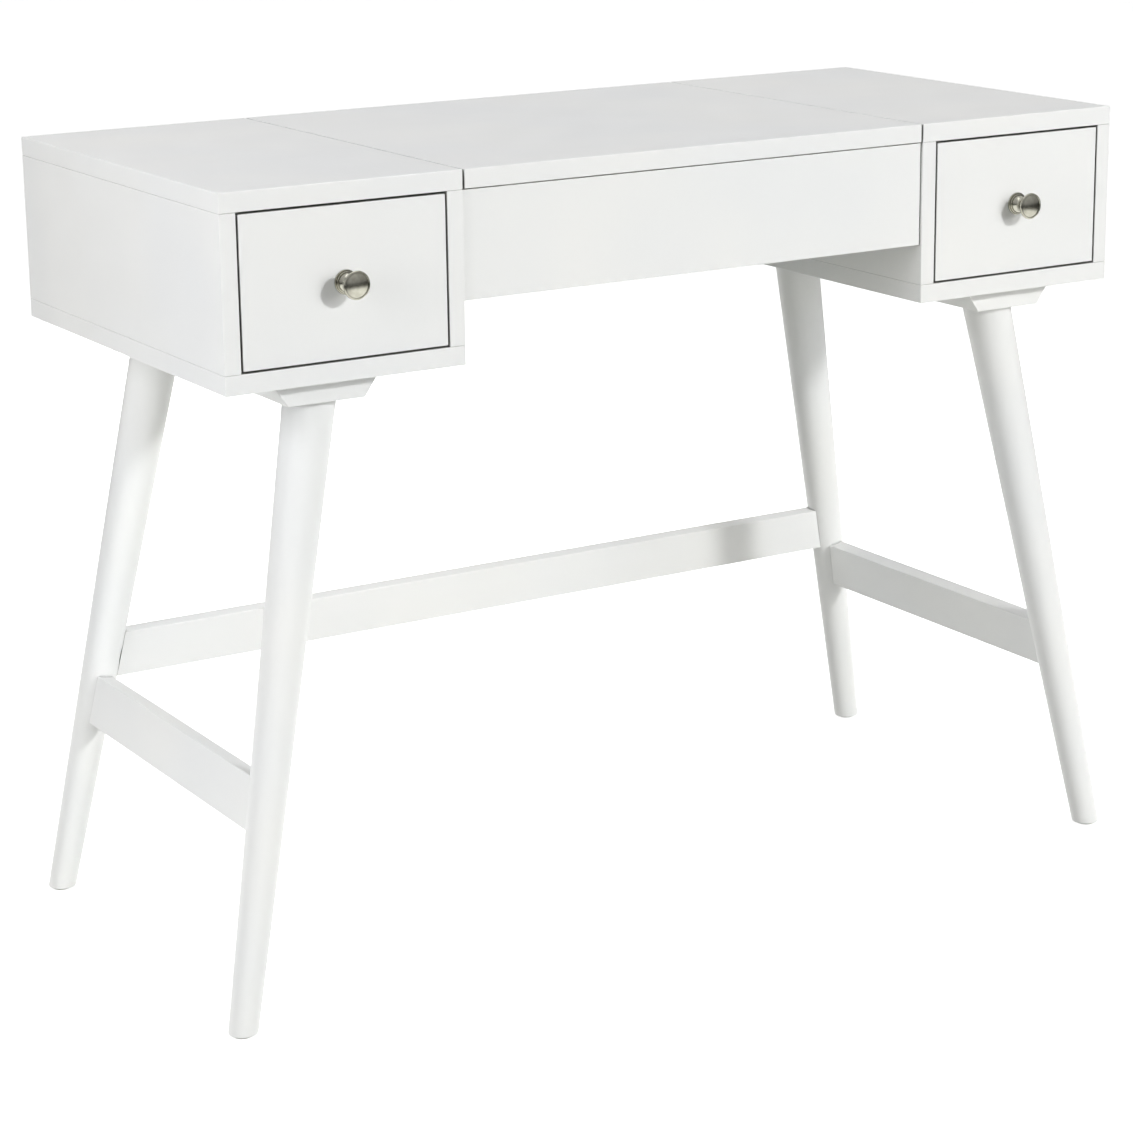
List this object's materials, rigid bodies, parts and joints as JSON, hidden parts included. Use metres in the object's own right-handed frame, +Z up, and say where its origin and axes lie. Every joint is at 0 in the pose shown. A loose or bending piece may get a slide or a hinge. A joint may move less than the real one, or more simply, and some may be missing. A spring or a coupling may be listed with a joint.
{
  "type": "vanity table",
  "caption": "Dressing table with a drawer cabinet at each end, a flip-top lid with a mirror under it over a shallow tray, and round splayed legs joined by stretchers.",
  "frame": {"origin": "on the floor, under the middle of the whole table", "axes": "+Z up, +X to the right as seen from the front, the drawers open towards -Y"},
  "size_m": [1.0228, 0.4738, 0.768],
  "materials": {
    "white_lacquer": "satin white lacquer on fibreboard and solid wood",
    "birch_ply": "clear matt lacquer",
    "beech": "bare",
    "brushed_nickel": "satin nickel plate",
    "nickel_plated_steel": "nickel plate",
    "zinc_plated_steel": "bright zinc plate",
    "silvered_glass": "polished, silvered back",
    "white_nylon": "moulded",
    "clear_rubber": "soft, translucent"
  },
  "bodies": {
    "frame": {"case_fitting_screws": "zinc_plated_steel", "cleat_screws": "zinc_plated_steel", "drawer_case_runners": "zinc_plated_steel", "front_apron": "white_lacquer", "hinge_case_leaves": "nickel_plated_steel", "hinge_pins": "nickel_plated_steel", "left_back_leg": "white_lacquer", "left_cabinet_back": "white_lacquer", "left_cabinet_bottom": "white_lacquer", "left_cabinet_inner_side": "white_lacquer", "left_cabinet_outer_side": "white_lacquer", "left_cabinet_top": "white_lacquer", "left_front_leg": "white_lacquer", "left_leg_cleat": "white_lacquer", "left_side_stretcher": "white_lacquer", "leg_bolts": "zinc_plated_steel", "leg_glides": "white_nylon", "lid_bumpers": "clear_rubber", "rear_stretcher": "white_lacquer", "right_back_leg": "white_lacquer", "right_cabinet_back": "white_lacquer", "right_cabinet_bottom": "white_lacquer", "right_cabinet_inner_side": "white_lacquer", "right_cabinet_outer_side": "white_lacquer", "right_cabinet_top": "white_lacquer", "right_front_leg": "white_lacquer", "right_leg_cleat": "white_lacquer", "right_side_stretcher": "white_lacquer", "stay_case_brackets": "nickel_plated_steel", "stretcher_dowels": "beech", "tray_back": "white_lacquer", "tray_bottom": "white_lacquer"},
    "left_drawer": {"left_drawer_back": "birch_ply", "left_drawer_bottom": "birch_ply", "left_drawer_front": "white_lacquer", "left_drawer_left_side": "birch_ply", "left_drawer_right_side": "birch_ply", "left_drawer_runners": "zinc_plated_steel", "left_knob": "brushed_nickel", "left_knob_screw": "zinc_plated_steel"},
    "right_drawer": {"right_drawer_back": "birch_ply", "right_drawer_bottom": "birch_ply", "right_drawer_front": "white_lacquer", "right_drawer_left_side": "birch_ply", "right_drawer_right_side": "birch_ply", "right_drawer_runners": "zinc_plated_steel", "right_knob": "brushed_nickel", "right_knob_screw": "zinc_plated_steel"},
    "left_ball_cages": {"left_ball_cages": "zinc_plated_steel"},
    "right_ball_cages": {"right_ball_cages": "zinc_plated_steel"},
    "lid": {"hinge_lid_leaves": "nickel_plated_steel", "lid_fitting_screws": "zinc_plated_steel", "mirror_frame": "white_lacquer", "mirror_glass": "silvered_glass", "mirror_lid": "white_lacquer", "stay_lid_brackets": "nickel_plated_steel"},
    "left_stay_lower_arm": {"left_stay_lower_arm": "nickel_plated_steel"},
    "left_stay_upper_arm": {"left_stay_upper_arm": "nickel_plated_steel"},
    "right_stay_lower_arm": {"right_stay_lower_arm": "nickel_plated_steel"},
    "right_stay_upper_arm": {"right_stay_upper_arm": "nickel_plated_steel"}
  },
  "joints": [
    {"name": "left_drawer_slide", "type": "slide", "parent": "frame", "child": "left_drawer", "axis": [0, -1, 0], "range_m": [0, 0.27]},
    {"name": "left_ball_cage_slide", "type": "slide", "parent": "frame", "child": "left_ball_cages", "axis": [0, -1, 0], "range_m": [0, 0.135]},
    {"name": "right_drawer_slide", "type": "slide", "parent": "frame", "child": "right_drawer", "axis": [0, -1, 0], "range_m": [0, 0.27]},
    {"name": "right_ball_cage_slide", "type": "slide", "parent": "frame", "child": "right_ball_cages", "axis": [0, -1, 0], "range_m": [0, 0.135]},
    {"name": "lid_hinge", "type": "hinge", "parent": "frame", "child": "lid", "pos_m": [0, 0.23417, 0.75], "axis": [-1, 0, 0], "range_deg": [0, 100]},
    {"name": "left_stay_case_pivot", "type": "hinge", "parent": "frame", "child": "left_stay_lower_arm", "pos_m": [-0.2518, 0.18418, 0.685], "axis": [-1, 0, 0], "range_deg": [0, 101]},
    {"name": "left_stay_lid_pivot", "type": "hinge", "parent": "lid", "child": "left_stay_upper_arm", "pos_m": [-0.2493, 0.07318, 0.736], "axis": [1, 0, 0], "range_deg": [0, 105]},
    {"name": "right_stay_case_pivot", "type": "hinge", "parent": "frame", "child": "right_stay_lower_arm", "pos_m": [0.2518, 0.18418, 0.685], "axis": [-1, 0, 0], "range_deg": [0, 101]},
    {"name": "right_stay_lid_pivot", "type": "hinge", "parent": "lid", "child": "right_stay_upper_arm", "pos_m": [0.2493, 0.07318, 0.736], "axis": [1, 0, 0], "range_deg": [0, 105]}
  ],
  "couplings": [
    {"joint": "left_ball_cage_slide", "follows": "left_drawer_slide", "ratio": 0.5},
    {"joint": "right_ball_cage_slide", "follows": "right_drawer_slide", "ratio": 0.5},
    {"joint": "left_stay_case_pivot", "follows": "lid_hinge", "ratio": 1.0005},
    {"joint": "left_stay_lid_pivot", "follows": "lid_hinge", "ratio": 1.0351},
    {"joint": "right_stay_case_pivot", "follows": "lid_hinge", "ratio": 1.0005},
    {"joint": "right_stay_lid_pivot", "follows": "lid_hinge", "ratio": 1.0351}
  ]
}
